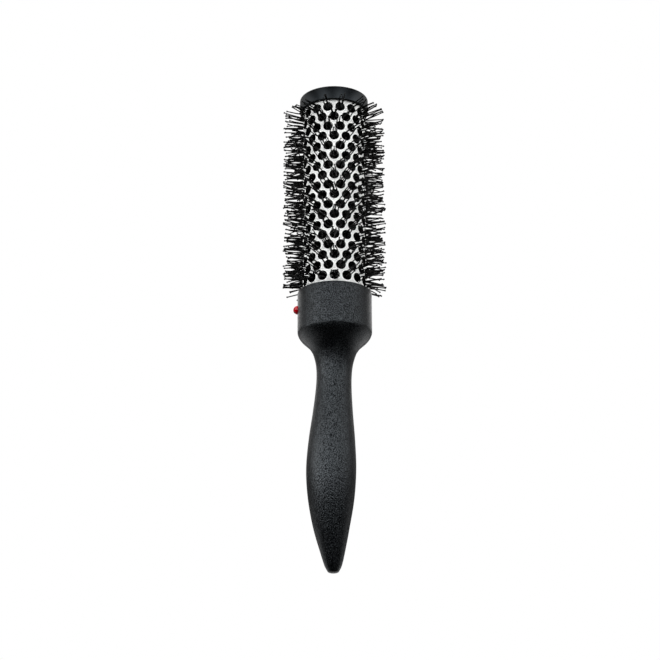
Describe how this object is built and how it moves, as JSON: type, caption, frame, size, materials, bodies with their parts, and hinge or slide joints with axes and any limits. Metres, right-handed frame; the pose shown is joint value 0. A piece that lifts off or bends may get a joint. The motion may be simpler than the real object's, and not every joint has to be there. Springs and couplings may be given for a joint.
{
  "type": "round barrel hair brush",
  "caption": "Round vented-barrel hair brush with radial bristle tufts, end cap, collar with a side release button, and a tapered handle.",
  "frame": {"origin": "centre of the end cap's flat outer face, which the brush stands on", "axes": "+Z along the barrel's axis from the cap towards the handle's tip; +X towards the release button; -Y is the side that the reference view shows"},
  "size_m": [0.0538, 0.0538, 0.2573],
  "materials": {
    "handle_plastic": "fine spark-eroded texture, satin",
    "cap_plastic": "smooth satin moulding",
    "barrel_coating": "white ceramic-type coating, satin",
    "bristle_nylon": "glossy black filament",
    "steel": "bright drawn wire",
    "button_plastic": "glossy red"
  },
  "bodies": {
    "brush": {"handle": "handle_plastic", "barrel": "barrel_coating", "end_cap": "cap_plastic", "barrel_plug": "cap_plastic", "core_wire": "steel", "button_spring": "steel", "bristle_row_01": "bristle_nylon", "bristle_row_02": "bristle_nylon", "bristle_row_03": "bristle_nylon", "bristle_row_04": "bristle_nylon", "bristle_row_05": "bristle_nylon", "bristle_row_06": "bristle_nylon", "bristle_row_07": "bristle_nylon", "bristle_row_08": "bristle_nylon", "bristle_row_09": "bristle_nylon", "bristle_row_10": "bristle_nylon", "bristle_row_11": "bristle_nylon", "bristle_row_12": "bristle_nylon", "bristle_row_13": "bristle_nylon", "bristle_row_14": "bristle_nylon", "bristle_row_15": "bristle_nylon", "bristle_row_16": "bristle_nylon", "bristle_row_17": "bristle_nylon", "bristle_row_18": "bristle_nylon"},
    "button": {"release_button": "button_plastic"}
  },
  "joints": [
    {"name": "button_press", "type": "slide", "parent": "brush", "child": "button", "axis": [-1, 0, 0], "range_m": [0, 0.0019], "stiffness_N_per_m": 300, "springref_m": -0.004}
  ]
}
